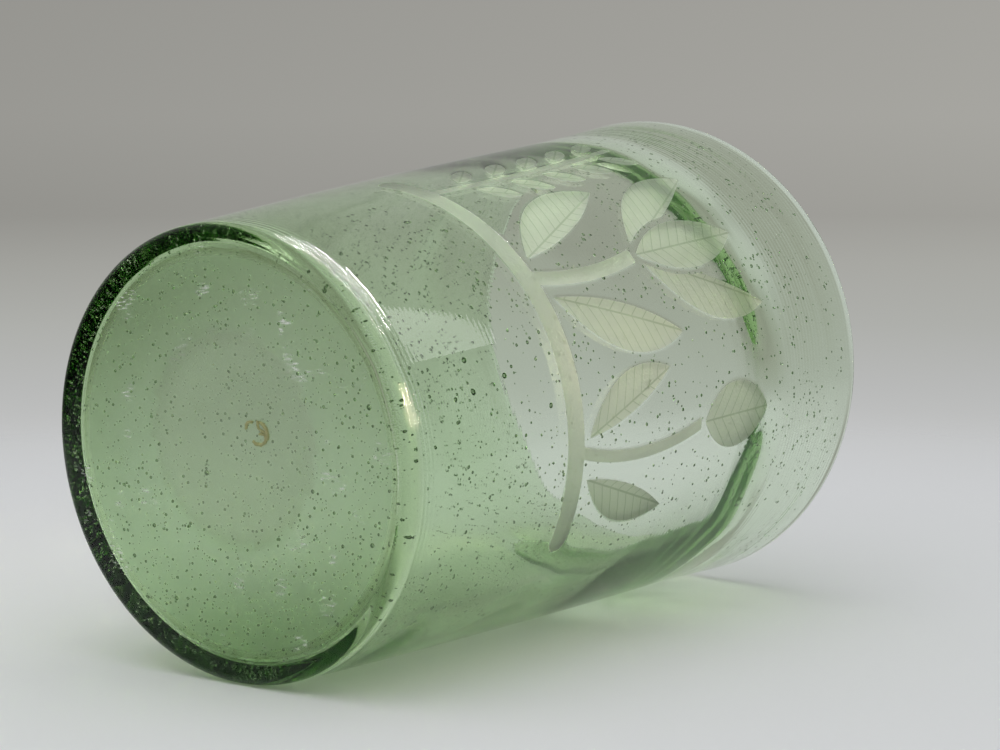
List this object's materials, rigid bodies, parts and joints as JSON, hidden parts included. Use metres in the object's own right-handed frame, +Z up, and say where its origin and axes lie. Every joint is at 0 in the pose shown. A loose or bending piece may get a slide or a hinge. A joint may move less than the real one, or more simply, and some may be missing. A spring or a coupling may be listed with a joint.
{
  "type": "engraved glass beaker",
  "caption": "Tapering hand-blown beaker of pale green seedy glass with a flared lip, pushed-up base and wheel-engraved plants on a ground line.",
  "frame": {"origin": "middle of the resting plane under the foot ring", "axes": "+Z up the vessel's axis from base to mouth; -Y towards the engraved side; -X towards the side that is uppermost when the beaker lies as in the picture"},
  "size_m": [0.0814, 0.0814, 0.1134],
  "materials": {
    "green_glass": "fire-polished, clear pale green with seeds",
    "ground_glass": "wheel-ground, matte and translucent",
    "broken_glass": "rough broken glass with brown residue"
  },
  "bodies": {
    "root": {"wall": "green_glass", "lip": "green_glass", "heel": "green_glass", "base": "green_glass", "pontil_scar": "broken_glass", "ground_line": "ground_glass", "tulip_stem": "ground_glass", "tulip_leaf_left": "ground_glass", "tulip_leaf_right": "ground_glass", "tulip_petal_left": "ground_glass", "tulip_petal_middle": "ground_glass", "tulip_petal_right": "ground_glass", "bud_stem": "ground_glass", "bud_leaf_left": "ground_glass", "bud_leaf_right": "ground_glass", "bud": "ground_glass", "sprig_stalk": "ground_glass", "sprig_leaves": "ground_glass"}
  },
  "joints": []
}
